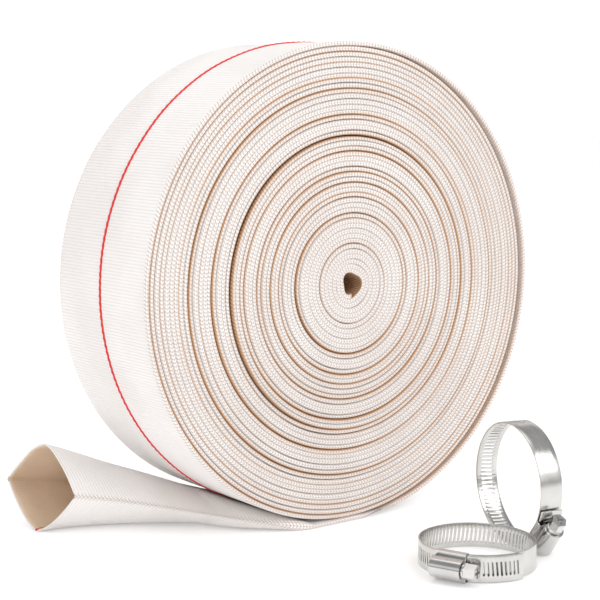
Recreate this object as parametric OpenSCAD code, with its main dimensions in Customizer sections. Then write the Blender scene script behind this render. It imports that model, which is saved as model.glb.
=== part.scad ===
// Rolled lay-flat fire hose with its two worm-drive hose clamps.
// Frame: +Z up, the origin on the floor under the coil's axis at mid-width.
// The coil's axis lies along Y, its visible face looks towards -Y, and the free end leaves towards -X.

/* [Hose] */
// Width of the hose when it is pressed flat
flat_width = 84; // [70:1:90]
// Thickness of the flattened hose, both walls together
flat_thickness = 2.6; // [2.6:0.1:2.7]
// Thickness of the woven jacket's wall
jacket_wall = 0.8; // [0.7:0.05:0.8]
// Radius of the coil, from its axis to the outside of the last turn
coil_radius = 131; // [125:1:140]
// Growth of the coil's radius in one turn
turn_pitch = 2.75; // [2.75:0.01:2.8]
// Number of turns in the coil
turn_count = 45; // [38:1:45]
// How far the last turn stands off the turn below it
loose_gap = 3; // [1:0.5:5]

/* [Free end] */
// Distance from the coil's axis to the open mouth, along X
mouth_reach = 147; // [140:1:155]
// How far the mouth lies behind the coil's middle plane
mouth_offset = 45; // [35:1:50]
// Half of the opened mouth's width, between its two fold lines
mouth_half_width = 29; // [27:1:31]
// Half of the opened mouth's height
mouth_half_height = 23.5; // [22:0.5:24]

/* [Clamps] */
// Bore radius of the clamp that lies on the floor
lying_bore_r = 28; // [27:0.5:29]
// Bore radius of the clamp that stands on edge
standing_bore_r = 30.5; // [30:0.5:31]
// Width of the steel band
band_width = 12.7; // [12:0.1:13]
// Thickness of the steel band
band_t = 0.7; // [0.6:0.05:0.7]
// Distance from slot to slot, which is also the worm's pitch
slot_pitch = 2.2; // [2.1:0.1:2.4]
// Angle of free band beyond the lying clamp's housing
lying_free_angle = 68; // [60:1:85]
// Angle of free band beyond the standing clamp's housing
standing_free_angle = 24; // [20:1:60]

/* [Hidden] */
$fn = 64;

jacket_colour = [0.93, 0.91, 0.88];
liner_colour = [0.87, 0.77, 0.65];
tracer_colour = [0.85, 0.1, 0.1];
steel_colour = [0.78, 0.78, 0.77];

// Coil
turn_step = 20;
joint_x = -25;
foot_x = 10;
skin_gap = 0.05;
liner_inset = jacket_wall + skin_gap;
tracer_width = 1.6;
tracer_height = 0.35;

// Free end
tail_stations = 14;
section_points = 32;
liner_wall = 0.4;

// Clamp
seat_gap = 0.55;
saddle_t = 0.45;
strip_rise = band_t + skin_gap + saddle_t + seat_gap;
split_angle = 0.3;
far_slots_angle = 58;
ring_steps = 40;
free_steps = 14;
slot_margin = 3;
fixed_end_angle = 3;
slot_length = 7;
slot_width = 1.1;
free_end_relief = 1.5;
worm_crest_r = 4.2;
worm_root_r = 3;
worm_engagement = 0.3;
housing_half_length = 8;
housing_wall = 0.5;
end_wall = 0.7;
barrel_wall = 0.7;
barrel_clearance = 0.3;
barrel_r = worm_crest_r + barrel_clearance + barrel_wall;
side_clearance = 0.3;
housing_lip = 0.25;
shoulder_gap = 0.95;
shoulder_t = 0.6;
running_gap = 0.05;
neck_r = 2;
tip_r = 1.5;
cap_r = 2.1;
cap_t = 0.6;
collar_r = 3.9;
head_flats = 7;
head_length = 6;
head_collar = 1;
head_gap = 0.3;
recess_width = 1;
recess_length = 5;
recess_depth = 1.5;
bond = 0.1;
ridge_root_half = 0.65;
ridge_crest_half = 0.2;
thread_start = -1200;
thread_end = 360;
thread_step = 20;
housing_half_width = band_width / 2 + side_clearance + housing_wall;

// Places of the two clamps on the floor
lying_place = [3.5, -138];
lying_heading = -69;
lying_contact_y = lying_bore_r + housing_lip;
lying_tilt = -asin((housing_half_width - band_width / 2) / (lying_contact_y + lying_bore_r + band_t));
lying_height = housing_half_width * cos(lying_tilt) + lying_contact_y * sin(lying_tilt);
standing_place = [46, -123];
standing_heading = 167;
standing_roll = 51;
housing_drop = housing_half_length * sin(standing_roll)
  + (barrel_r - worm_y(standing_bore_r)) * cos(standing_roll);
band_drop = standing_bore_r + band_t + strip_offset() * (1 + cos(standing_roll));
standing_height = max(housing_drop, band_drop) + 0.02;

function strip_offset() = strip_rise / 2;
function strip_r(bore_r) = bore_r + strip_rise / 2;
function worm_y(bore_r) = -(bore_r + strip_rise + band_t + worm_crest_r - worm_engagement);

// ---- Hose ----

// Radius of the coil's outside after the winding angle a
function winding_r(a) = coil_radius - turn_pitch * a / 360 + (a < 180 ? loose_gap * sin(a) : 0);
function winding_point(a, depth) = let (r = winding_r(a) - depth) [r * sin(a), coil_radius - r * cos(a)];
// One side of the wound strip, from the free end to the core
function winding_side(depth, start_x, last) = concat(
  [[start_x, depth], [foot_x, depth]],
  [for (a = [turn_step : turn_step : last]) winding_point(a, depth)]
);
function reversed(v) = [for (i = [len(v) - 1 : -1 : 0]) v[i]];

// A wound strip with its faces inset from the hose's own, reaching past both ends by overrun
module wound_strip(width, inset, overrun) {
  last = turn_count * 360 + (overrun > 0 ? turn_step : 0);
  outer = winding_side(inset, joint_x - overrun, last);
  inner = winding_side(flat_thickness - inset, joint_x - overrun, last);
  translate([0, width / 2, 0])
    rotate([90, 0, 0])
      linear_extrude(height = width) polygon(concat(outer, reversed(inner)));
}

module jacket_coil() {
  color(jacket_colour)
    difference() {
      wound_strip(flat_width, 0, 0);
      wound_strip(flat_width - 2 * jacket_wall, jacket_wall, 1);
    }
}

module liner_coil() {
  color(liner_colour) wound_strip(flat_width - 2 * liner_inset, liner_inset, 0);
}

// The coloured yarn on the outermost turn
module tracer_yarn() {
  angles = [for (a = [turn_step : turn_step : 360 - 2 * turn_step]) a];
  outer = [for (a = angles) winding_point(a, -tracer_height)];
  inner = [for (a = angles) winding_point(a, -skin_gap)];
  color(tracer_colour)
    translate([0, tracer_width / 2, 0])
      rotate([90, 0, 0])
        linear_extrude(height = tracer_width) polygon(concat(outer, reversed(inner)));
}

function smooth(u) = u * u * (3 - 2 * u);
function mix(p, q, u) = p + (q - p) * u;

// Cross-section of the free end at station u: 0 is the coil's edge and 1 is the mouth
function tail_centre(u) = [mix(joint_x - skin_gap, -mouth_reach, u), mouth_offset * smooth(u)];
function tail_half_width(u) = mix(flat_width / 2, mouth_half_width, pow(u, 1.5));
function tail_half_height(u) = mix(flat_thickness / 2, mouth_half_height, u);
function tail_squareness(u) = mix(12, 1.5, min(1, 2.5 * u));
function tail_heading(u) = 12 * smooth(u);
function tail_point(u, phi, inset) =
  let (
    half_w = tail_half_width(u) - inset,
    half_h = tail_half_height(u) - inset,
    side = half_w * cos(phi),
    rise = half_h * sign(sin(phi)) * (1 - pow(abs(cos(phi)), tail_squareness(u))),
    centre = tail_centre(u),
    turn = tail_heading(u)
  )
  [centre[0] + side * sin(turn) * -1, centre[1] + side * cos(turn), tail_half_height(u) + rise];

// A tube along the free end with its wall between two insets
module tail_shell(outer_inset, inner_inset) {
  n = section_points;
  m = tail_stations;
  phis = [for (j = [0 : n - 1]) 360 * (j + 0.5) / n];
  outer = [for (i = [0 : m], phi = phis) tail_point(i / m, phi, outer_inset)];
  inner = [for (i = [0 : m], phi = phis) tail_point(i / m, phi, inner_inset)];
  base = (m + 1) * n;
  outer_skin = [for (i = [0 : m - 1], j = [0 : n - 1])
    let (k = (j + 1) % n) [i * n + j, i * n + k, (i + 1) * n + k, (i + 1) * n + j]];
  inner_skin = [for (i = [0 : m - 1], j = [0 : n - 1])
    let (k = (j + 1) % n) [base + i * n + j, base + (i + 1) * n + j, base + (i + 1) * n + k, base + i * n + k]];
  root_rim = [for (j = [0 : n - 1]) let (k = (j + 1) % n) [j, base + j, base + k, k]];
  mouth_rim = [for (j = [0 : n - 1]) let (k = (j + 1) % n, s = m * n) [s + j, s + k, base + s + k, base + s + j]];
  polyhedron(concat(outer, inner), concat(outer_skin, inner_skin, root_rim, mouth_rim));
}

module jacket_tail() {
  color(jacket_colour) tail_shell(0, jacket_wall);
}

module liner_tail() {
  color(liner_colour) tail_shell(liner_inset, liner_inset + liner_wall);
}

// ---- Worm-drive clamp, with its ring's axis along Z and its housing on the -Y side ----

module band_arc(inner_r, from, to) {
  rotate([0, 0, from])
    rotate_extrude(angle = to - from)
      translate([inner_r, -band_width / 2]) square([band_t, band_width]);
}

// Slots through a band of radius inner_r, counted from the housing, which lies between slots -1 and 0
module slot_row(inner_r, first, last) {
  step_angle = slot_pitch / (inner_r + band_t / 2) * 180 / PI;
  for (i = [first : last])
    rotate([0, 0, -90 + (i + 0.5) * step_angle])
      translate([inner_r - 1, -slot_width / 2, -slot_length / 2])
        cube([band_t + 2, slot_width, slot_length]);
}

function slots_in(angle, inner_r) = floor(angle / (slot_pitch / (inner_r + band_t / 2) * 180 / PI));

module fixed_half(bore_r) {
  color(steel_colour)
    difference() {
      band_arc(bore_r, -90 - fixed_end_angle, 90 - split_angle);
      slot_row(bore_r, slots_in(180 - far_slots_angle, bore_r), slots_in(180 - slot_margin, bore_r) - 1);
    }
}

// One side of the movable half of the band, from its split end through the housing to its free end
function strip_side(bore_r, free_angle, depth) =
  let (ring_r = strip_r(bore_r) + depth, free_r = ring_r + free_end_relief)
  concat(
    [for (i = [0 : ring_steps]) let (a = mix(90 + split_angle, 270, i / ring_steps))
      [ring_r * cos(a), ring_r * sin(a) - strip_offset()]],
    [for (i = [1 : free_steps]) let (a = free_angle * i / free_steps - 90)
      [free_r * cos(a), free_r * sin(a) + free_end_relief - strip_offset()]]
  );

module slotted_half(bore_r, free_angle) {
  ring_r = strip_r(bore_r);
  free_r = ring_r + free_end_relief;
  ring_shift = [0, -strip_offset(), 0];
  free_shift = [0, free_end_relief - strip_offset(), 0];
  color(steel_colour)
    difference() {
      translate([0, 0, -band_width / 2])
        linear_extrude(height = band_width)
          polygon(concat(strip_side(bore_r, free_angle, 0), reversed(strip_side(bore_r, free_angle, band_t))));
      translate(ring_shift) slot_row(ring_r, -slots_in(180 - slot_margin, ring_r), -1);
      translate(free_shift) slot_row(free_r, 0, slots_in(free_angle - slot_margin, free_r) - 1);
    }
}

module along_worm(bore_r, from, length, radius) {
  translate([from, worm_y(bore_r), 0])
    rotate([0, 90, 0]) cylinder(r = radius, h = length);
}

module clamp_housing(bore_r) {
  barrel_in = worm_crest_r + barrel_clearance;
  strip_top = bore_r + strip_rise + band_t;
  shoulder_y = -(strip_top + shoulder_gap);
  half = housing_half_length;
  color(steel_colour)
    difference() {
      union() {
        along_worm(bore_r, -half, 2 * half, barrel_r);
        translate([-half, shoulder_y - shoulder_t, -housing_half_width])
          cube([2 * half, shoulder_t - shoulder_y - bore_r - housing_lip, 2 * housing_half_width]);
      }
      along_worm(bore_r, -half + end_wall, 2 * half - 2 * end_wall, barrel_in);
      along_worm(bore_r, -half - 1, end_wall + 2, tip_r + running_gap);
      along_worm(bore_r, half - end_wall - 1, end_wall + 2, neck_r + running_gap);
      translate([-half - 1, shoulder_y, -housing_half_width + housing_wall])
        cube([2 * half + 2, -shoulder_y, 2 * (housing_half_width - housing_wall)]);
    }
}

module clamp_saddle(bore_r) {
  inner_r = bore_r + band_t + skin_gap;
  reach = asin((housing_half_length - 0.5) / inner_r);
  half_width = housing_half_width - housing_wall - skin_gap;
  color(steel_colour)
    rotate([0, 0, -90 - fixed_end_angle])
      rotate_extrude(angle = reach + fixed_end_angle)
        translate([inner_r, -half_width]) square([saddle_t, 2 * half_width]);
}

// The worm's ridge, one helix about the screw's axis
module worm_ridge() {
  angles = [for (a = [thread_start : thread_step : thread_end]) a];
  foot_r = worm_root_r - bond;
  profile = [
    [-ridge_root_half, foot_r], [-ridge_crest_half, worm_crest_r],
    [ridge_crest_half, worm_crest_r], [ridge_root_half, foot_r]
  ];
  last = len(angles) - 1;
  points = [for (a = angles, p = profile)
    [slot_pitch * (a / 360 + 0.5) + p[0], p[1] * cos(a), p[1] * sin(a)]];
  sides = [for (i = [0 : last - 1], j = [0 : 3])
    let (k = (j + 1) % 4) [4 * i + j, 4 * i + k, 4 * i + 4 + k, 4 * i + 4 + j]];
  ends = [[3, 2, 1, 0], [4 * last, 4 * last + 1, 4 * last + 2, 4 * last + 3]];
  polyhedron(points, concat(sides, ends));
}

module worm_screw(bore_r) {
  half = housing_half_length;
  inner_end = half - end_wall - head_gap;
  journal = half + head_gap - inner_end + 2 * bond;
  head_start = half + head_gap + head_collar;
  color(steel_colour)
    difference() {
      union() {
        along_worm(bore_r, -inner_end, 2 * inner_end, worm_root_r);
        along_worm(bore_r, inner_end - bond, journal, neck_r);
        along_worm(bore_r, -inner_end + bond - journal, journal, tip_r);
        along_worm(bore_r, -half - head_gap - cap_t, cap_t, cap_r);
        along_worm(bore_r, half + head_gap, head_collar, collar_r);
        translate([head_start - bond, worm_y(bore_r), 0])
          rotate([0, 90, 0]) cylinder(r = head_flats / sqrt(3), h = head_length + bond, $fn = 6);
        translate([0, worm_y(bore_r), 0]) worm_ridge();
      }
      for (turn = [0, 90])
        translate([head_start + head_length, worm_y(bore_r), 0])
          rotate([turn, 0, 0]) cube([2 * recess_depth, recess_width, recess_length], center = true);
    }
}

// ---- Places ----

module lying() {
  translate([lying_place[0], lying_place[1], lying_height])
    rotate([0, 0, lying_heading])
      rotate([lying_tilt, 0, 0]) children();
}

module standing() {
  translate([standing_place[0], standing_place[1], standing_height])
    rotate([0, 0, standing_heading + 90])
      rotate([90, 0, 0])
        rotate([0, 0, standing_roll]) children();
}

module lying_band_fixed_half() { lying() fixed_half(lying_bore_r); }
module lying_band_slotted_half() { lying() slotted_half(lying_bore_r, lying_free_angle); }
module lying_housing() { lying() clamp_housing(lying_bore_r); }
module lying_saddle() { lying() clamp_saddle(lying_bore_r); }
module lying_worm_screw() { lying() worm_screw(lying_bore_r); }
module standing_band_fixed_half() { standing() fixed_half(standing_bore_r); }
module standing_band_slotted_half() { standing() slotted_half(standing_bore_r, standing_free_angle); }
module standing_housing() { standing() clamp_housing(standing_bore_r); }
module standing_saddle() { standing() clamp_saddle(standing_bore_r); }
module standing_worm_screw() { standing() worm_screw(standing_bore_r); }

jacket_coil();
jacket_tail();
liner_coil();
liner_tail();
tracer_yarn();
lying_band_fixed_half();
lying_band_slotted_half();
lying_housing();
lying_saddle();
lying_worm_screw();
standing_band_fixed_half();
standing_band_slotted_half();
standing_housing();
standing_saddle();
standing_worm_screw();
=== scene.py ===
"""Rolled lay-flat fire hose with its two worm-drive clamps: the looks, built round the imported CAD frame."""

import math

import bpy
import numpy as np
from mathutils import Matrix, Vector


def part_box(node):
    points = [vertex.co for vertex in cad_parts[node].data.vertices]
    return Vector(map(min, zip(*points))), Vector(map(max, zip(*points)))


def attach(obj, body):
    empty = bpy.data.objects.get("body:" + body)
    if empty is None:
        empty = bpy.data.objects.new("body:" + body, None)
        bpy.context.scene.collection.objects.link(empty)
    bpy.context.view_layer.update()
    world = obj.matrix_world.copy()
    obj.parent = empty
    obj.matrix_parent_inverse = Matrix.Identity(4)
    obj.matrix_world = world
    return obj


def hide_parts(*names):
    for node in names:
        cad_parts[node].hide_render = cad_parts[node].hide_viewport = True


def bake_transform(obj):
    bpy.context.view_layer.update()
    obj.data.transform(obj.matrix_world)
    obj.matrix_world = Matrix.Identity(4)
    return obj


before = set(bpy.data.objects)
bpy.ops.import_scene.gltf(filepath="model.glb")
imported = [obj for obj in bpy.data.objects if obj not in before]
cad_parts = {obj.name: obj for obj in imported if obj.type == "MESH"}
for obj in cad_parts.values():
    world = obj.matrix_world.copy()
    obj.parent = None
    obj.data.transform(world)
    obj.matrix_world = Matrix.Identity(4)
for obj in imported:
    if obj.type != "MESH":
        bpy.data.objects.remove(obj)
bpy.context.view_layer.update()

MM = 0.001

# ---- Driving dimensions, in metres, as in the part's source ----
HALF_WIDTH = (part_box("jacket_coil")[1][1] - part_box("jacket_coil")[0][1]) / 2
HALF_THICK = 1.3 * MM
JACKET_WALL = 0.8 * MM
COIL_RADIUS = 131 * MM
TURN_PITCH = 2.75 * MM
TURN_COUNT = 45
LOOSE_GAP = 3 * MM
JOINT_X = -25 * MM
FOOT_X = 10 * MM
MOUTH_REACH = 147 * MM
MOUTH_OFFSET = 45 * MM
MOUTH_HALF_WIDTH = 29 * MM
MOUTH_HALF_HEIGHT = 23.5 * MM
MOUTH_HEADING = math.radians(12)
LINER_WALL = 0.4 * MM
SKIN_GAP = 0.05 * MM

BAND_WIDTH = 12.7 * MM
BAND_T = 0.7 * MM
SLOT_PITCH = 2.2 * MM
STRIP_RISE = 1.75 * MM
FREE_END_RELIEF = 1.5 * MM


# ---- Camera ----
CAMERA_AZIMUTH = math.radians(-37.0)
CAMERA_ELEVATION = math.radians(7.2)
CAMERA_PLACE = (-0.4763, -0.6268, 0.2195)


def make_camera():
    """The photograph's viewpoint: well to the left of the front face and just above the coil's middle."""
    azimuth, elevation = CAMERA_AZIMUTH, CAMERA_ELEVATION
    back = Vector(
        (
            math.sin(azimuth) * math.cos(elevation),
            -math.cos(azimuth) * math.cos(elevation),
            math.sin(elevation),
        )
    )
    data = bpy.data.cameras.new("camera")
    data.sensor_width = 36.0
    data.lens = 84.5
    data.shift_y = -0.0045
    data.shift_x = 0.001
    data.clip_end = 50
    camera = bpy.data.objects.new("camera", data)
    camera.location = CAMERA_PLACE
    camera.rotation_mode = "QUATERNION"
    camera.rotation_quaternion = (-back).to_track_quat("-Z", "Y")
    bpy.context.scene.collection.objects.link(camera)
    bpy.context.scene.camera = camera


make_camera()


# ---- Mesh helpers ----
def new_object(name, points, faces, material, attributes):
    """A smooth-shaded mesh object from points and polygons, with named values on its points."""
    mesh = bpy.data.meshes.new(name)
    mesh.from_pydata([tuple(p) for p in points], [], [tuple(f) for f in faces])
    for key, values in attributes.items():
        layer = mesh.attributes.new(key, "FLOAT", "POINT")
        layer.data.foreach_set("value", np.asarray(values, np.float32))
    mesh.materials.append(material)
    mesh.update()
    mesh.shade_smooth()
    made = bpy.data.objects.new(name, mesh)
    bpy.context.scene.collection.objects.link(made)
    return made


def tube_faces(stations, ring, first=0):
    """Quads of a tube whose rings follow each other in the list of points."""
    i, j = np.meshgrid(np.arange(stations - 1), np.arange(ring), indexing="ij")
    k = (j + 1) % ring
    quads = np.stack([i * ring + j, i * ring + k, (i + 1) * ring + k, (i + 1) * ring + j], axis=-1)
    return (quads.reshape(-1, 4) + first).tolist()


def closed_tube_faces(stations, ring, first=0):
    """Quads of a tube, with a polygon over each end."""
    ends = [first, first + (stations - 1) * ring]
    near, far = ([start + j for j in range(ring)] for start in ends)
    return tube_faces(stations, ring, first) + [near[::-1], far]


def wander(x, seed, periods=(1.0, 0.37, 0.13)):
    """A smooth random curve over x between about -1 and 1, the same on every run."""
    random = np.random.default_rng(seed)
    total = np.zeros_like(x, dtype=float)
    for period in periods:
        total += np.sin(2 * math.pi * (x / period + random.random())) * random.uniform(0.6, 1.0)
    return total / len(periods)


def smooth_step(u):
    u = np.clip(u, 0, 1)
    return u * u * (3 - 2 * u)


def mix(p, q, u):
    return p + (q - p) * u


# ---- Node helpers ----
class Field:
    """A number that varies over a surface, as a node socket that takes ordinary arithmetic."""

    def __init__(self, tree, socket):
        self.tree, self.socket = tree, socket

    def op(self, kind, *others):
        node = self.tree.nodes.new("ShaderNodeMath")
        node.operation = kind
        for slot, value in zip(node.inputs, (self, *others)):
            if isinstance(value, Field):
                self.tree.links.new(value.socket, slot)
            else:
                slot.default_value = value
        return Field(self.tree, node.outputs[0])

    def __add__(self, other):
        return self.op("ADD", other)

    def __mul__(self, other):
        return self.op("MULTIPLY", other)

    def __truediv__(self, other):
        return self.op("DIVIDE", other)

    def sin(self):
        return self.op("SINE")

    def abs(self):
        return self.op("ABSOLUTE")

    def min(self, other):
        return self.op("MINIMUM", other)

    def max(self, other):
        return self.op("MAXIMUM", other)

    def floor(self):
        return self.op("FLOOR")

    def power(self, other):
        return self.op("POWER", other)

    def ramp(self, low, high, to_low=0.0, to_high=1.0):
        """This value taken smoothly from one range to another, held at the ends."""
        node = self.tree.nodes.new("ShaderNodeMapRange")
        node.interpolation_type = "SMOOTHSTEP"
        self.tree.links.new(self.socket, node.inputs["Value"])
        for name, value in zip(("From Min", "From Max", "To Min", "To Max"), (low, high, to_low, to_high)):
            node.inputs[name].default_value = value
        return Field(self.tree, node.outputs["Result"])


def attribute(tree, name):
    node = tree.nodes.new("ShaderNodeAttribute")
    node.attribute_name = name
    return Field(tree, node.outputs["Fac"])


def noise(tree, scale, detail):
    """Noise over the object's own coordinates, in cells per metre."""
    place = tree.nodes.new("ShaderNodeTexCoord")
    node = tree.nodes.new("ShaderNodeTexNoise")
    node.inputs["Scale"].default_value = scale
    node.inputs["Detail"].default_value = detail
    tree.links.new(place.outputs["Object"], node.inputs["Vector"])
    return Field(tree, node.outputs["Fac"])


def blend_colour(tree, factor, first, second):
    """Mixes two colours, each a socket or three numbers, by a field."""
    node = tree.nodes.new("ShaderNodeMix")
    node.data_type = "RGBA"
    tree.links.new(factor.socket, node.inputs["Factor"])
    for slot, value in ((node.inputs[6], first), (node.inputs[7], second)):
        if isinstance(value, tuple):
            slot.default_value = (*value, 1)
        else:
            tree.links.new(value, slot)
    return node.outputs[2]


def new_material(name):
    material = bpy.data.materials.new(name)
    material.use_nodes = True
    tree = material.node_tree
    return material, tree, tree.nodes["Principled BSDF"]


def bump(tree, shader, height, distance, strength):
    node = tree.nodes.new("ShaderNodeBump")
    node.inputs["Strength"].default_value = strength
    node.inputs["Distance"].default_value = distance
    tree.links.new(height.socket, node.inputs["Height"])
    tree.links.new(node.outputs["Normal"], shader.inputs["Normal"])


# ---- Materials ----
SECTION_LENGTH = 2 * HALF_WIDTH + 1.0 * MM
RIB_PITCH = 1.7 * MM
WARP_PITCH = 0.95 * MM
STITCH_PITCH = 2.0 * MM
STITCH_ROW = 1.3 * MM
STITCH_SLANT = 0.55
FOLD_ZONE = 2.6 * MM


def woven_height(tree):
    """The jacket's relief, with its stitches and where the folds are.

    The flats have weft ribs crossed by warp dots, and slanting stitches run round the folds."""
    along, across = attribute(tree, "along"), attribute(tree, "across")
    from_fold = across.min(across * -1 + SECTION_LENGTH)
    rib = (along / (RIB_PITCH / math.pi)).sin().abs()
    row = (along / RIB_PITCH).floor()
    dots = (across / (WARP_PITCH / (2 * math.pi)) + row * math.pi).sin() * 0.5 + 0.5
    flat = rib.power(0.6) * (dots * 0.45 + 0.55)
    slant = along + from_fold * STITCH_SLANT
    loops = (slant / (STITCH_PITCH / math.pi)).sin().abs().power(0.8)
    rows = (from_fold / (STITCH_ROW / math.pi)).sin().abs().power(0.4)
    stitches = loops * rows
    fold = from_fold.ramp(FOLD_ZONE * 0.8, FOLD_ZONE * 1.15, 1.0, 0.0)
    return flat * (fold * -1 + 1) + stitches * fold, stitches, fold


def jacket_material():
    """Off-white woven polyester. The hollows of the weave are painted darker as shade, grey on the flats and
    the rubber's tan at the folds; the grooves between the turns and the hole at the middle are painted from
    the rubber's tan to dark brown, a painted shade.
    """
    material, tree, shader = new_material("woven_jacket")
    height, stitches, fold = woven_height(tree)
    cloudy = noise(tree, 18, 4)
    white = blend_colour(tree, cloudy.ramp(0.35, 0.65), (0.83, 0.785, 0.76), (0.90, 0.865, 0.845))
    # Painted shade: the hollows of the weave are darkened, grey on the flats and tan at the folds.
    weave_shade_colour = blend_colour(tree, fold, (0.62, 0.60, 0.59), (0.50, 0.40, 0.35))
    weave_shade_amount = height.ramp(0.15, 0.8, 1.0, 0.0) * (fold * 0.33 + 0.42)
    cloth = blend_colour(tree, weave_shade_amount, white, weave_shade_colour)
    # Painted shade in the grooves between the turns and in the hole at the middle: the cloth goes to the
    # rubber's tan, then to dark brown where the groove is deepest.
    gap = attribute(tree, "gap")
    tan_and_shade_amount = gap * (stitches * -0.35 + 1.1)
    tan = blend_colour(tree, tan_and_shade_amount.ramp(0.0, 0.55), cloth, (0.60, 0.36, 0.20))
    cloth_with_groove_shade = blend_colour(tree, tan_and_shade_amount.ramp(0.5, 1.0), tan, (0.20, 0.10, 0.05))
    tree.links.new(cloth_with_groove_shade, shader.inputs["Base Color"])
    fuzz = noise(tree, 900, 2)
    tree.links.new((fuzz * 0.2 + 0.62).socket, shader.inputs["Roughness"])
    shader.inputs["Sheen Weight"].default_value = 0.25
    shader.inputs["Sheen Roughness"].default_value = 0.4
    shader.inputs["Specular IOR Level"].default_value = 0.3
    bump(tree, shader, height + fuzz * 0.12, 0.35 * MM, 0.8)
    return material


def liner_material():
    """Tan rubber lining with the faint print of the weave behind it."""
    material, tree, shader = new_material("rubber_lining")
    along, across = attribute(tree, "along"), attribute(tree, "across")
    weft = (along / (RIB_PITCH / math.pi)).sin().abs()
    warp = (across / (RIB_PITCH / math.pi)).sin().abs()
    print_through = weft * 0.6 + warp * 0.4
    mottled = noise(tree, 60, 3)
    shade = mottled * 0.7 + print_through * 0.3
    tan = blend_colour(tree, shade.ramp(0.25, 0.75), (0.62, 0.46, 0.33), (0.74, 0.58, 0.43))
    tree.links.new(tan, shader.inputs["Base Color"])
    tree.links.new((mottled * 0.15 + 0.5).socket, shader.inputs["Roughness"])
    shader.inputs["Specular IOR Level"].default_value = 0.35
    bump(tree, shader, print_through, 0.08 * MM, 0.5)
    return material


def tracer_material():
    """Red two-ply yarn with fine fibres along each strand."""
    material, tree, shader = new_material("tracer_yarn")
    along, around = attribute(tree, "along"), attribute(tree, "around")
    fibre = (around * 9 + along * 5200).sin() * 0.5 + 0.5
    worn = noise(tree, 400, 2)
    bright = (fibre * 0.5 + worn * 0.5).ramp(0.2, 0.8)
    red = blend_colour(tree, bright, (0.50, 0.006, 0.008), (0.86, 0.02, 0.02))
    tree.links.new(red, shader.inputs["Base Color"])
    tree.links.new((worn * 0.2 + 0.55).socket, shader.inputs["Roughness"])
    shader.inputs["Sheen Weight"].default_value = 0.3
    bump(tree, shader, fibre, 0.06 * MM, 0.6)
    return material


def rolling_lines(tree):
    """Fine lines that run along the rolled strip."""
    across = attribute(tree, "across")
    return (across * 9000).sin() * 0.25 + (across * 23700).sin() * 0.25 + 0.5


def steel_material(name, tone, rough, rolled=False):
    """Stainless steel with a slightly uneven polish over rolling lines or a fine grain."""
    material, tree, shader = new_material(name)
    patches = noise(tree, 90, 4)
    lines = rolling_lines(tree) if rolled else noise(tree, 1500, 2)
    colour = blend_colour(tree, patches.ramp(0.3, 0.7), tuple(t * 0.9 for t in tone), tone)
    tree.links.new(colour, shader.inputs["Base Color"])
    tree.links.new((patches * 0.08 + lines * 0.07 + rough).socket, shader.inputs["Roughness"])
    shader.inputs["Metallic"].default_value = 1.0
    bump(tree, shader, lines + patches * 2, 0.012 * MM, 0.25)
    return material


JACKET = jacket_material()
LINING = liner_material()
TRACER = tracer_material()
BAND_STEEL = steel_material("rolled_band_steel", (0.66, 0.65, 0.63), 0.16, rolled=True)
HOUSING_STEEL = steel_material("pressed_housing_steel", (0.66, 0.65, 0.64), 0.10)
SCREW_STEEL = steel_material("bright_screw_steel", (0.72, 0.71, 0.70), 0.13)

# ---- Hose: the wound coil ----
# Where a turn has settled away from the one outside it, counted in turns from the free end:
# (turn, how open the groove is, how far the turns inside it stand proud at the front in millimetres)
GROOVES = (
    (0.6, 0.6, 0.2),
    (2.0, 0.55, 0.3),
    (4.1, 0.4, 0.4),
    (7.5, 0.45, 0.5),
    (9.9, 0.85, 1.6),
    (14.8, 0.8, 1.5),
    (18.6, 1.0, 1.9),
    (21.2, 0.8, 1.2),
    (25.2, 0.75, 1.5),
    (27.7, 0.6, 0.8),
    (30.0, 0.7, 0.9),
    (33.9, 0.8, 1.3),
    (39.5, 0.3, 0.3),
)
BACK_FLARE = 0.022
FOLD_DEPTH = 1.9 * MM
FOLD_ARC = 2.4 * MM
CORE_ANGLE = math.radians(215)
PINCH_START = 18 * MM
PINCH_SPAN = 12 * MM
PINCH_DEPTH = 1.1 * MM
SETTLING = 0.35 * MM
CLOSED_THICKNESS = 1.055
OPEN_THINNING = 0.2
TIGHT_FOLD = 0.22
SLACK_FOLD = 1.25
BELLY = 0.35 * MM
# How dark the painted shade in the hole at the middle is.
HOLE_SHADE = 0.85


def winding_r(a):
    """Radius of the coil's outside after the winding angle a, in degrees."""
    stand_off = np.where(a < 180, LOOSE_GAP * np.sin(np.radians(np.minimum(a, 180))), 0)
    r = COIL_RADIUS - TURN_PITCH * a / 360 + stand_off
    inward = np.clip((PINCH_START - r) / PINCH_SPAN, 0, 1)
    pinch = np.cos(3 * (np.radians(a) - CORE_ANGLE)) + 0.6 * np.cos(np.radians(a) - CORE_ANGLE)
    settled = SETTLING * wander(a / 360, 3, (7.3, 3.1)) * np.clip((a - 360) / 1080, 0, 1)
    return r + settled + PINCH_DEPTH * pinch * inward**1.5


def openness(turn):
    """How open the groove outside this turn is, from 0 to 1."""
    total = 0.32 * np.clip(wander(turn, 31, (1.83, 0.71, 0.43)), 0, 1) * (turn < 34)
    for centre, strength, _ in GROOVES:
        uneven = 0.85 + 0.15 * wander(turn, 41, (0.41, 0.23))
        total += strength * uneven * np.exp(-(((turn - centre) / 0.55) ** 2))
    return np.clip(total, 0, 1)


def proud(turn):
    """How far a turn stands out at the front.

    There is a step at each groove, and it settles back over the turns inside it."""
    total = np.zeros_like(turn)
    for centre, _, step in GROOVES:
        rise = smooth_step((turn - centre + 0.25) / 0.5)
        total += step * MM * rise * np.exp(-np.maximum(turn - centre, 0) / 2.6)
    return total


def turn_shift(a):
    """Sideways shift of the whole strip towards the front."""
    turn = a / 360
    left = 0.65 + 0.35 * np.sin(np.radians(a) - math.pi)
    loose = 0.3 * MM * wander(turn, 11, (2.3, 0.83, 0.29)) * np.clip(turn, 0, 1)
    return proud(turn) * left + loose - 0.5 * MM * np.clip(turn, 0, 1)


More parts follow.
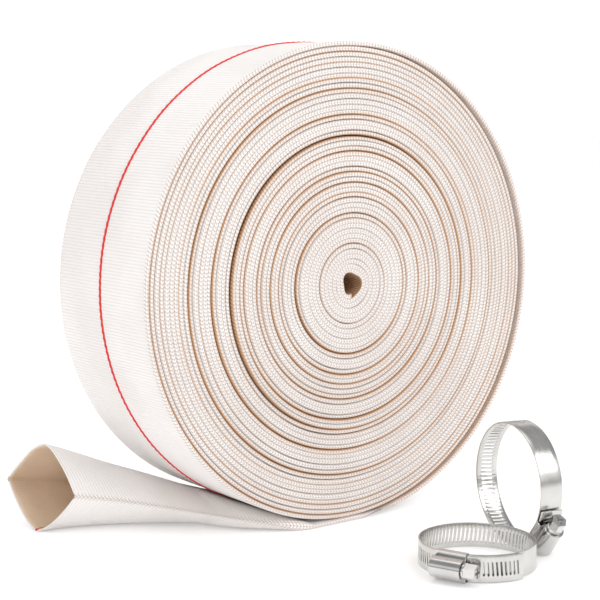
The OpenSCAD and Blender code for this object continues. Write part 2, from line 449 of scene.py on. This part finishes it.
def half_section(middle):
    """One half of the flattened hose's outline, from the front fold to the back fold.

    It gives each point's distance out of the middle plane as a share, its place across and its distance
    round the section."""
    turn = np.radians(np.array([0, 25, 50, 75, 90]))
    rise = np.sin(turn)
    take = FOLD_DEPTH * (1 - np.cos(turn))
    arc = FOLD_ARC * turn / turn[-1]
    inner = np.linspace(-1, 1, middle + 2)[1:-1]
    inner_across = SECTION_LENGTH / 2 + inner * (SECTION_LENGTH / 2 - FOLD_ARC)
    out = np.concatenate([rise, np.ones(middle), rise[::-1]])
    across = np.concatenate([arc, inner_across, SECTION_LENGTH - arc[::-1]])
    place = np.concatenate([-HALF_WIDTH + take, inner * (HALF_WIDTH - FOLD_DEPTH), (HALF_WIDTH - take)[::-1]])
    return out, place, across


def whole_section(middle):
    """The closed outline: the outer half from front to back, then the inner half back again."""
    out, place, across = half_section(middle)
    return (
        np.concatenate([out, -out[-2:0:-1]]),
        np.concatenate([place, place[-2:0:-1]]),
        np.concatenate([across, across[-2:0:-1]]),
    )


def coil_points(angles, section):
    """Points of the wound strip at these winding angles, and how much painted groove shade each point gets in
    the material.
    """
    out, place, across = section
    a = angles[:, None]
    radians = np.radians(a)
    turn = a / 360
    thick = HALF_THICK * (CLOSED_THICKNESS - OPEN_THINNING * openness(turn) * (np.abs(out) > 0.3))
    centre_r = winding_r(a) - HALF_THICK
    open_beside = np.maximum(openness(turn), openness(turn + 1))
    tucked = (HALF_WIDTH - np.abs(place)) * mix(TIGHT_FOLD, SLACK_FOLD, open_beside)
    at_fold = np.abs(place) > HALF_WIDTH - FOLD_DEPTH * 1.01
    y = np.where(at_fold, np.sign(place) * (HALF_WIDTH - tucked), place) - turn_shift(a)
    raised = (1 - np.sin(radians)) / 2 * (1 - np.clip(np.cos(radians), 0, 1) ** 4)
    flare = 1 + BACK_FLARE * raised * (place + HALF_WIDTH) / (2 * HALF_WIDTH)
    r = (centre_r + thick * out) * flare
    first_turn = np.clip(1 - turn, 0, 1)
    belly = BELLY * wander(turn * 9 + place / HALF_WIDTH, 5, (1.0, 0.41)) * (out > 0.99) * first_turn
    points = np.stack(
        [(r + belly) * np.sin(radians), y, COIL_RADIUS - (r + belly) * np.cos(radians)], axis=-1
    )
    # Painted shade between the turns: each fold is darkened by how open the groove beside it is, with a faint
    # painted shade towards the flat faces of every fold.
    outside = openness(turn) * np.clip((out + 0.1) / 1.1, 0, 1) ** 1.2
    inside = openness(turn + 1) * np.clip((-out + 0.1) / 1.1, 0, 1) ** 1.2
    seen = (np.abs(place) > HALF_WIDTH - FOLD_DEPTH * 1.05) | (turn > 0.98)
    fold_edge_shade = 0.07 * np.abs(out) ** 4
    gap = np.clip(np.maximum(outside * (turn > 0.98), inside) + fold_edge_shade, 0, 1) * seen
    # Painted shade in the hole at the middle: the inside of the last turn is darkened, less near its folds.
    in_hole = (turn > TURN_COUNT - 1.1) & (out < 0)
    depth = HOLE_SHADE * smooth_step((HALF_WIDTH - np.abs(place)) / FOLD_DEPTH)
    gap = np.where(in_hole, np.maximum(gap, depth), gap)
    return points, gap


def run_length(angles):
    """Length along the strip from the foot of the coil, for the weave."""
    steps = np.radians(np.diff(angles)) * winding_r((angles[1:] + angles[:-1]) / 2)
    return np.concatenate([[0], np.cumsum(steps)])


OUTER_END = 372.0


def winding_angles():
    """Winding angles of the inner turns, closer together where the radius is small."""
    angles = [OUTER_END - 12]
    last = TURN_COUNT * 360
    while angles[-1] < last:
        r = max(float(winding_r(np.array(angles[-1]))), 4 * MM)
        angles.append(min(angles[-1] + min(math.degrees(4.4 * MM / r), 12), last))
    return np.array(angles)


def make_windings():
    """All the turns inside the outermost one."""
    section = whole_section(0)
    angles = winding_angles()
    points, gap = coil_points(angles, section)
    ring = points.shape[1]
    along = (run_length(angles)[:, None] + np.zeros(ring)).ravel()
    across = np.broadcast_to(section[2], (len(angles), ring)).ravel()
    faces = closed_tube_faces(len(angles), ring)
    flat = points.reshape(-1, 3)
    values = {"along": along, "across": across, "gap": gap.ravel()}
    return new_object("hose_jacket_windings", flat, faces, JACKET, values)


# ---- Hose: the outermost turn and the opened free end ----
LEAN = 0.15
FREE_STATIONS = 90
RIM_MIDDLE = 26


def free_end_frame(u):
    """Centre, half width, half height, squareness and heading of the free end.

    u runs from 0 at the coil to 1 at the mouth."""
    x = mix(JOINT_X, -MOUTH_REACH, u)
    y = MOUTH_OFFSET * smooth_step(u)
    half_w = mix(HALF_WIDTH, MOUTH_HALF_WIDTH, u**1.5)
    half_h = mix(HALF_THICK, MOUTH_HALF_HEIGHT, u)
    square = mix(12, 1.55, np.minimum(1, 2.5 * u))
    return x, y, half_w, half_h, square, MOUTH_HEADING * smooth_step(u)


def free_end_points(stations, section, inset):
    """Rings of the free end's skin, inset from its outside."""
    out, place, _ = section
    u = stations[:, None]
    x, y, half_w, half_h, square, heading = free_end_frame(u)
    share = np.clip(place / HALF_WIDTH, -1, 1)
    wide, high = half_w - inset, np.maximum(half_h - inset, 0.15 * MM)
    flat_rise = high * out
    open_rise = high * np.sign(out) * (1 - np.abs(share) ** square)
    rise = mix(flat_rise, open_rise, smooth_step(u / 0.22))
    side = wide * share
    drape = 0.5 * MM * wander(u * 1.3 + share * 0.8, 21, (1.0, 0.45)) * smooth_step(u * 3) * (1 - share**2)
    up = half_h + rise + drape * (out > 0)
    lean = LEAN * up * smooth_step(u)
    px = x - side * np.sin(heading) + lean * np.cos(heading)
    py = y + side * np.cos(heading) + lean * np.sin(heading)
    return np.stack(np.broadcast_arrays(px, py, np.maximum(up, 0)), axis=-1)


def foot_points(count, section):
    """The short flat stretch under the coil, between the free end and the outermost turn."""
    out, place, _ = section
    x = np.linspace(JOINT_X, FOOT_X, count)[:, None]
    return np.stack(
        np.broadcast_arrays(x, place - 0 * x, HALF_THICK * (1 + out) + 0 * x), axis=-1
    )


def make_outer_turn():
    """The free end, the foot and the outermost turn as one woven skin, as thick as its wall at the mouth."""
    section = whole_section(RIM_MIDDLE)
    ring = len(section[0])
    u = np.linspace(1, 0, FREE_STATIONS)
    inner_u = np.linspace(0.2, 1, 30)
    angles = np.linspace(14, OUTER_END, 260)
    inner = free_end_points(inner_u, section, JACKET_WALL)
    outer = free_end_points(u, section, 0)
    foot = foot_points(9, section)[1:]
    turn, gap = coil_points(angles, section)
    points = np.concatenate([inner, outer, foot, turn]).reshape(-1, 3)
    reach = MOUTH_REACH + JOINT_X
    run = np.concatenate(
        [
            -reach * inner_u + JOINT_X,
            -reach * u + JOINT_X,
            np.linspace(JOINT_X, FOOT_X, 9)[1:],
            FOOT_X + run_length(angles) + math.radians(14) * COIL_RADIUS,
        ]
    )
    stations = len(run)
    skin_tan_and_shade = np.concatenate([np.zeros((stations - len(angles), ring)), gap]).ravel()
    values = {
        "along": np.repeat(run, ring),
        "across": np.broadcast_to(section[2], (stations, ring)).ravel(),
        "gap": skin_tan_and_shade,
    }
    faces = closed_tube_faces(stations, ring)
    return new_object("hose_jacket_outer_turn", points, faces, JACKET, values)


def make_lining():
    """The rubber lining seen in the open mouth."""
    section = whole_section(RIM_MIDDLE)
    ring = len(section[0])
    wall = JACKET_WALL + SKIN_GAP
    mouth, count = 0.996, 60
    stations = np.concatenate([np.linspace(0.12, mouth, count), np.linspace(mouth, 0.14, count)])
    outer = free_end_points(stations[:count], section, wall)
    inner = free_end_points(stations[count:], section, wall + LINER_WALL)
    points = np.concatenate([outer, inner]).reshape(-1, 3)
    faces = closed_tube_faces(len(stations), ring)
    values = {
        "along": np.repeat(stations * MOUTH_REACH, ring),
        "across": np.broadcast_to(section[2], (len(stations), ring)).ravel(),
    }
    return new_object("hose_lining", points, faces, LINING, values)


# ---- Hose: the red tracer ----
PLY_RADIUS = 0.55 * MM
PLY_OFFSET = 0.4 * MM
PLY_PITCH = 7.4 * MM
TRACER_SINK = -0.05 * MM
TRACER_RIM_START = 5


def tracer_path():
    """The middle of the jacket's outer side, from the mouth round the outermost turn, with its normals."""
    middle = (np.array([1.0]), np.array([0.0]), np.array([0.0]))
    under = (np.array([-1.0]), np.array([0.0]), np.array([0.0]))
    u = np.linspace(1.003, 0, 200)
    tail = free_end_points(u, under, 0)[:, 0]
    foot = np.stack([np.linspace(JOINT_X, FOOT_X, 40)[1:], np.zeros(39), np.zeros(39)], axis=-1)
    angles = np.arange(TRACER_RIM_START, 352, 0.35)
    turn = coil_points(angles, middle)[0][:, 0]
    turn[:, 1] = -turn_shift(angles)
    points = np.concatenate([tail, foot, turn])
    down = np.tile([0.0, 0.0, -1.0], (len(tail) + len(foot), 1))
    radial = np.stack([np.sin(np.radians(angles)), 0 * angles, -np.cos(np.radians(angles))], axis=-1)
    under_lift = -PLY_RADIUS - PLY_OFFSET
    rim_lift = mix(under_lift, -TRACER_SINK, smooth_step((angles - TRACER_RIM_START) / 30))
    lift = np.concatenate([np.full(len(down), under_lift), rim_lift])
    normals = np.concatenate([down, radial])
    return points + normals * lift[:, None], normals


def make_tracer():
    """Two strands laid round each other along the middle of the jacket."""
    path, normals = tracer_path()
    steps = np.linalg.norm(np.diff(path, axis=0), axis=1)
    run = np.concatenate([[0], np.cumsum(steps)])
    even = np.arange(0, run[-1], PLY_PITCH / 9)
    centre = np.stack([np.interp(even, run, path[:, k]) for k in range(3)], axis=-1)
    out = np.stack([np.interp(even, run, normals[:, k]) for k in range(3)], axis=-1)
    tangent = np.gradient(centre, axis=0)
    tangent /= np.linalg.norm(tangent, axis=1)[:, None]
    out /= np.linalg.norm(out, axis=1)[:, None]
    side = np.cross(tangent, out)
    points, faces, along, around = [], [], [], []
    ring = 7
    for strand in range(2):
        twist = 2 * math.pi * even / PLY_PITCH + math.pi * strand
        middle = centre + PLY_OFFSET * (np.sin(twist)[:, None] * side + 0.5 * np.cos(twist)[:, None] * out)
        first = len(points) * len(even) * ring
        phi = np.linspace(0, 2 * math.pi, ring, endpoint=False)
        spread = np.cos(phi)[None, :, None] * side[:, None] + np.sin(phi)[None, :, None] * out[:, None]
        skin = middle[:, None] + PLY_RADIUS * spread
        skin[..., 2] = np.maximum(skin[..., 2], 0)
        points.append(skin.reshape(-1, 3))
        faces += closed_tube_faces(len(even), ring, first)
        along.append(np.repeat(even, ring))
        around.append(np.tile(phi, len(even)))
    values = {"along": np.concatenate(along), "around": np.concatenate(around)}
    return new_object("hose_tracer_yarn", np.concatenate(points), faces, TRACER, values)


def make_hose():
    windings, outer, lining, tracer = make_windings(), make_outer_turn(), make_lining(), make_tracer()
    for piece, nodes, slot in (
        (windings, ("jacket_coil", "liner_coil"), "jacket"),
        (outer, ("jacket_tail",), "jacket"),
        (lining, ("liner_tail",), "lining"),
        (tracer, ("tracer_yarn",), "tracer"),
    ):
        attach(piece, "hose")
        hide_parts(*nodes)


make_hose()

# ---- Clamps ----
BAND_ROWS = (-1.0, -0.567, 0.0, 0.567, 1.0)
SLOT_HALF = 0.5 * MM
SLOT_REACH = 3.0 * MM
SLOT_SLANT = 0.1
FAR_SLOTS = math.radians(58)
FIXED_END = math.radians(3)


class Clamp:
    """One clamp's sizes and its place, in its own frame: the ring's axis along Z and the housing on -Y."""

    def __init__(self, name, bore_r, free_angle, place):
        self.name, self.bore_r = name, bore_r
        self.free_angle = math.radians(free_angle)
        self.place = place

    def outline(self, s):
        """Points for distances s along the band, from the free end to the fixed end."""
        r, rise = self.bore_r + BAND_T / 2, STRIP_RISE / 2
        ring_r = r + rise
        free_r = ring_r + FREE_END_RELIEF
        free, ring = free_r * self.free_angle, ring_r * math.pi
        on_free, on_ring = s < free, (s >= free) & (s < free + ring)
        angle = np.where(
            on_free,
            -math.pi / 2 + self.free_angle - s / free_r,
            np.where(on_ring, -math.pi / 2 - (s - free) / ring_r, -1.5 * math.pi - (s - free - ring) / r),
        )
        radius = np.where(on_free, free_r, np.where(on_ring, ring_r, r))
        shift = np.where(on_free, FREE_END_RELIEF - rise, np.where(on_ring, -rise, 0.0))
        return np.stack([radius * np.cos(angle), radius * np.sin(angle) + shift, 0 * angle], axis=-1)

    def lengths(self):
        r, rise = self.bore_r + BAND_T / 2, STRIP_RISE / 2
        free = (r + rise + FREE_END_RELIEF) * self.free_angle
        ring = (r + rise) * math.pi
        return free, ring, r * (math.pi + FIXED_END)


def slot_cell():
    """Pairs of a point on a slot's edge and one on the edge of its cell, going round the cell."""
    r, reach, w, e = SLOT_HALF, SLOT_REACH, BAND_WIDTH / 2, SLOT_PITCH / 2
    mid = w * BAND_ROWS[3]
    tip = r * math.sqrt(0.5)
    right = [
        ((tip, -reach - tip), (e, -w)),
        ((r, -reach), (e, -mid)),
        ((r, 0), (e, 0)),
        ((r, reach), (e, mid)),
        ((tip, reach + tip), (e, w)),
        ((0, reach + r), (0, w)),
    ]
    mirrored = [((-a[0], -a[1]), (-b[0], -b[1])) for a, b in right]
    return right + mirrored


def make_band(clamp):
    """The steel strip with its slots cut through, in two pieces that meet inside the housing."""
    free, ring, fixed = clamp.lengths()
    total = free + ring + fixed
    last_slot = free + ring + FAR_SLOTS * clamp.bore_r
    first = (free - 0.5 * SLOT_PITCH) % SLOT_PITCH + 0.5 * SLOT_PITCH
    centres = np.arange(first, last_slot, SLOT_PITCH)
    centres = centres[centres > 0.9 * SLOT_PITCH]
    flat, faces = [], []

    def add(points):
        flat.extend(points)
        return list(range(len(flat) - len(points), len(flat)))

    cell = slot_cell()
    n = len(cell)
    for c in centres:
        hole = add([(c + h[0] + SLOT_SLANT * h[1], h[1]) for h, _ in cell])
        edge = add([(c + b[0], b[1]) for _, b in cell])
        for i in range(n):
            k = (i + 1) % n
            faces.append((hole[i], hole[k], edge[k], edge[i]))
    half = BAND_WIDTH / 2
    stretches = (
        (0.0, centres[0] - SLOT_PITCH / 2),
        (centres[-1] + SLOT_PITCH / 2, total),
    )
    for start, end in stretches:
        steps = max(2, int(round((end - start) / (1.6 * MM))) + 1)
        columns = [add([(s, half * row) for row in BAND_ROWS]) for s in np.linspace(start, end, steps)]
        for left, right in zip(columns, columns[1:]):
            for i in range(len(BAND_ROWS) - 1):
                faces.append((left[i], left[i + 1], right[i + 1], right[i]))
    ring_piece = band_piece(clamp, "band", flat, faces, free, total)
    return ring_piece, band_piece(clamp, "band_end", flat, faces, 0, free)


def band_piece(clamp, part, flat, faces, start, end):
    """The stretch of the strip from start to end, bent to the ring and put in the clamp's place."""
    s, w = np.array(flat).T
    points = clamp.outline(s)
    points[:, 2] = w
    chosen = [face for face in faces if start <= s[list(face)].mean() < end]
    band = new_object(f"{clamp.name}_{part}", points, chosen, BAND_STEEL, {"along": s, "across": w})
    weld_and_thicken(band)
    band.data.transform(clamp.place)
    return band


def weld_and_thicken(band):
    """Joins the cells, gives the strip its thickness and rounds its edges a little."""
    weld = band.modifiers.new("weld", "WELD")
    weld.merge_threshold = 0.02 * MM
    solid = band.modifiers.new("thickness", "SOLIDIFY")
    solid.thickness = BAND_T
    solid.offset = 0
    bevel = band.modifiers.new("edge", "BEVEL")
    bevel.width = 0.12 * MM
    bevel.segments = 2
    bevel.limit_method = "ANGLE"
    bevel.angle_limit = math.radians(40)
    apply_modifiers(band)


def apply_modifiers(piece):
    bpy.context.view_layer.update()
    graph = bpy.context.evaluated_depsgraph_get()
    mesh = bpy.data.meshes.new_from_object(
        piece.evaluated_get(graph), preserve_all_data_layers=True, depsgraph=graph
    )
    piece.modifiers.clear()
    old, piece.data = piece.data, mesh
    bpy.data.meshes.remove(old)
    mesh.name = piece.name
    mesh.shade_smooth()
    mesh.set_sharp_from_angle(angle=math.radians(35))


LYING_BORE_R = 28 * MM
STANDING_BORE_R = 30.5 * MM
HOUSING_HALF_WIDTH = 7.15 * MM
HOUSING_LIP = 0.25 * MM
STANDING_HEIGHT = 32.7 * MM


def lying_place():
    """Flat on the floor, leaning a little because the housing is wider than the band."""
    bore, half = LYING_BORE_R, HOUSING_HALF_WIDTH
    contact = bore + HOUSING_LIP
    tilt = -math.asin((half - BAND_WIDTH / 2) / (contact + bore + BAND_T))
    height = half * math.cos(tilt) + contact * math.sin(tilt)
    return (
        Matrix.Translation((3.5 * MM, -138 * MM, height))
        @ Matrix.Rotation(math.radians(-69), 4, "Z")
        @ Matrix.Rotation(tilt, 4, "X")
    )


def standing_place():
    """On edge, resting on the housing and the band."""
    return (
        Matrix.Translation((46 * MM, -123 * MM, STANDING_HEIGHT))
        @ Matrix.Rotation(math.radians(257), 4, "Z")
        @ Matrix.Rotation(math.radians(90), 4, "X")
        @ Matrix.Rotation(math.radians(51), 4, "Z")
    )


def finish_clamp(clamp):
    """Makes the band bent to its ring, puts its free end on a body of its own, and gives the CAD parts their
    steel.
    """
    name = clamp.name
    band, band_end = make_band(clamp)
    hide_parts(f"{name}_band_fixed_half", f"{name}_band_slotted_half")
    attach(band_end, f"{name}_strip")
    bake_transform(band)
    for node, steel in (
        (f"{name}_housing", HOUSING_STEEL),
        (f"{name}_saddle", HOUSING_STEEL),
        (f"{name}_worm_screw", SCREW_STEEL),
    ):
        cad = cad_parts[node]
        cad.data.materials.clear()
        cad.data.materials.append(steel)


CLAMPS = (
    Clamp("lying", LYING_BORE_R, 68, lying_place()),
    Clamp("standing", STANDING_BORE_R, 24, standing_place()),
)
for clamp in CLAMPS:
    finish_clamp(clamp)


# ---- Stage and light ----
FLOOR_GLOW = 0.17
FLOOR_HALF = 12.0
LIGHT_AIM = Vector((0, 0, 0.1))


def make_floor():
    """A plain pale floor, larger than any view."""
    size = FLOOR_HALF
    mesh = bpy.data.meshes.new("floor")
    corners = [(-size, -size, 0), (size, -size, 0), (size, size, 0), (-size, size, 0)]
    mesh.from_pydata(corners, [], [(0, 1, 2, 3)])
    material, tree, shader = new_material("floor")
    shader.inputs["Base Color"].default_value = (0.93, 0.93, 0.93, 1)
    shader.inputs["Roughness"].default_value = 0.9
    shader.inputs["Specular IOR Level"].default_value = 0.1
    shader.inputs["Emission Color"].default_value = (1, 1, 1, 1)
    shader.inputs["Emission Strength"].default_value = FLOOR_GLOW
    mesh.materials.append(material)
    floor = bpy.data.objects.new("floor", mesh)
    bpy.context.scene.collection.objects.link(floor)


def make_world():
    """White to the eye, and a pale studio with darker bands in reflections."""
    world = bpy.data.worlds.new("studio")
    bpy.context.scene.world = world
    world.use_nodes = True
    tree = world.node_tree
    background = tree.nodes["Background"]
    place = tree.nodes.new("ShaderNodeTexCoord")
    split = tree.nodes.new("ShaderNodeSeparateXYZ")
    tree.links.new(place.outputs["Generated"], split.inputs[0])
    height = Field(tree, split.outputs["Z"])
    horizon = height.ramp(0.0, 0.05) * height.ramp(0.10, 0.2, 1.0, 0.0)
    upper = height.ramp(0.45, 0.6) * height.ramp(0.85, 0.95, 1.0, 0.0)
    studio = (horizon * -0.75 + upper * -0.6 + 1).max(0.05)
    path = tree.nodes.new("ShaderNodeLightPath")
    seen = Field(tree, path.outputs["Is Camera Ray"])
    glossy = Field(tree, path.outputs["Is Glossy Ray"])
    plain = (seen + glossy * -1 + 1).min(1.0)
    level = studio * (plain * -1 + 1) + plain
    tree.links.new((level * 0.92 + seen * 0.3).socket, background.inputs["Strength"])
    background.inputs["Color"].default_value = (1, 1, 1, 1)


def make_light(name, place, size, power):
    """A soft rectangular light aimed at the roll."""
    data = bpy.data.lights.new(name, "AREA")
    data.shape = "RECTANGLE"
    data.size, data.size_y = size
    data.energy = power
    light = bpy.data.objects.new(name, data)
    light.location = place
    light.rotation_mode = "QUATERNION"
    light.rotation_quaternion = (LIGHT_AIM - Vector(place)).to_track_quat("-Z", "Y")
    bpy.context.scene.collection.objects.link(light)


make_floor()
make_world()
make_light("key", (0.5, -1.6, 1.3), (1.1, 1.1), 11)
make_light("fill", (-1.5, -0.8, 0.9), (0.9, 1.2), 4)
make_light("top", (0.1, 0.3, 1.9), (1.4, 1.4), 5)
bpy.context.scene.view_settings.view_transform = "Standard"
